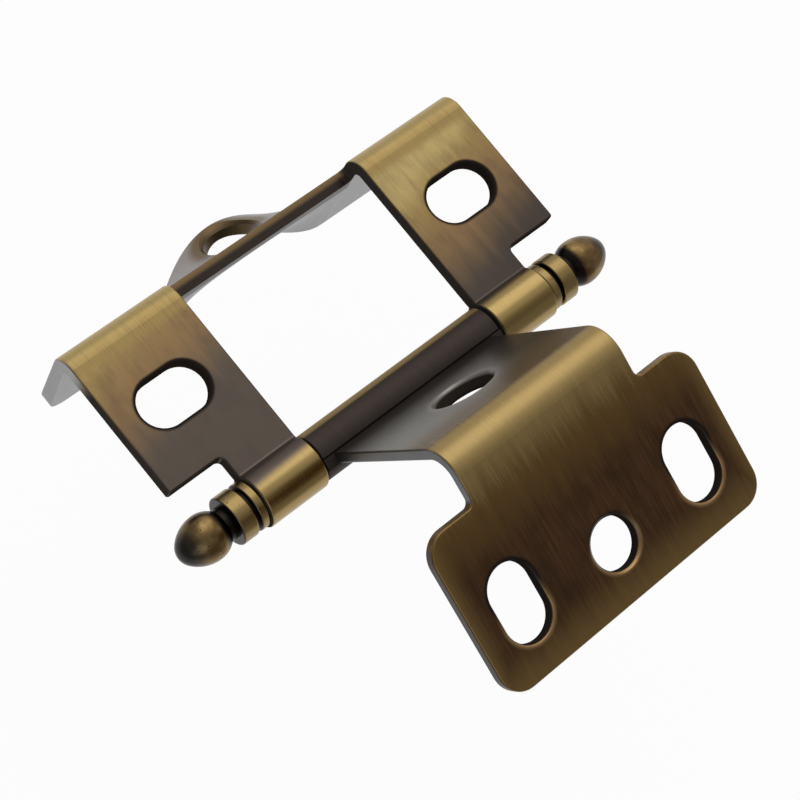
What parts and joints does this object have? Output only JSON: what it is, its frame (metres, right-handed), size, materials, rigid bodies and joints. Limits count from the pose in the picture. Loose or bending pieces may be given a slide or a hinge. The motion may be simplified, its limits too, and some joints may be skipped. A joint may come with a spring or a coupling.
{
  "type": "inset cabinet hinge",
  "caption": "Inset cabinet hinge of folded, antique brass plated steel: a frame leaf with window and flange, and a door leaf with right-angle plate, turning on a ball-tipped pin.",
  "frame": {"origin": "middle of the pin axis, half way along the barrel", "axes": "+Y along the pin, +Z square to the arms of the frame leaf on the side of the door, +X towards the room, so the cabinet frame lies on the -X side"},
  "size_m": [0.0696, 0.0696, 0.0401],
  "materials": {
    "leaf_plating": "brushed antique brass plating on steel sheet",
    "pin_steel": "drawn steel, darkened",
    "tip_brass": "turned, antique brass"
  },
  "bodies": {
    "frame_side": {"frame_leaf": "leaf_plating", "hinge_pin": "pin_steel", "left_ball_tip": "tip_brass", "right_ball_tip": "tip_brass"},
    "door_side": {"door_leaf": "leaf_plating"}
  },
  "joints": [
    {"name": "door_swing", "type": "hinge", "parent": "frame_side", "child": "door_side", "pos_m": [0, 0, 0], "axis": [0, 1, 0], "range_deg": [-111.4, 68.6]}
  ]
}
